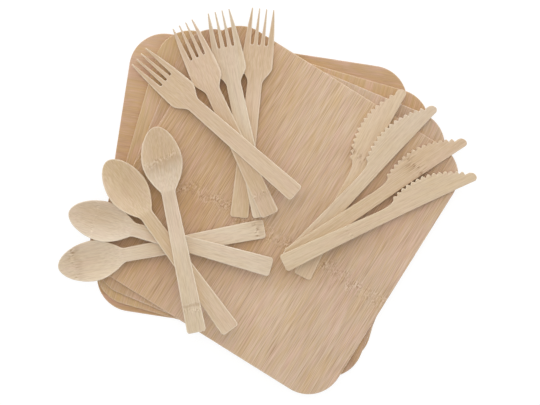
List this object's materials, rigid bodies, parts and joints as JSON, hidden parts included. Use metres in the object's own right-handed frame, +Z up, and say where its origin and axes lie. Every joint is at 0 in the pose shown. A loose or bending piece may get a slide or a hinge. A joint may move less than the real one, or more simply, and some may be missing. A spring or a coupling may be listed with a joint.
{
  "type": "wooden cutlery pack",
  "caption": "Disposable bamboo picnic set: fanned square plates with round corners, with heaps of pressed forks, spoons and toothed knives lying on them.",
  "frame": {"origin": "middle of the underside of the lowest plate, on the surface that the set lies on", "axes": "+Z up from that surface; +X to the right and +Y away as the set is seen from straight above, with the forks at +Y, the spoons at -X and the knives at +X"},
  "size_m": [0.339, 0.3132, 0.0241],
  "materials": {
    "plate_tan": "planed bamboo veneer, unvarnished, satin",
    "plate_pale": "planed bamboo veneer, unvarnished, satin, with pale and pinkish streaks",
    "fork": "pressed bamboo, unvarnished, satin",
    "spoon": "pressed bamboo, unvarnished, satin",
    "knife": "cut bamboo strip, unvarnished, satin"
  },
  "bodies": {
    "root": {"plate_1": "plate_tan", "plate_2": "plate_tan", "plate_3": "plate_tan", "plate_4": "plate_pale", "fork_1": "fork", "fork_2": "fork", "fork_3": "fork", "fork_4": "fork", "spoon_1": "spoon", "spoon_2": "spoon", "spoon_3": "spoon", "spoon_4": "spoon", "knife_1": "knife", "knife_2": "knife", "knife_3": "knife", "knife_4": "knife"}
  },
  "joints": []
}
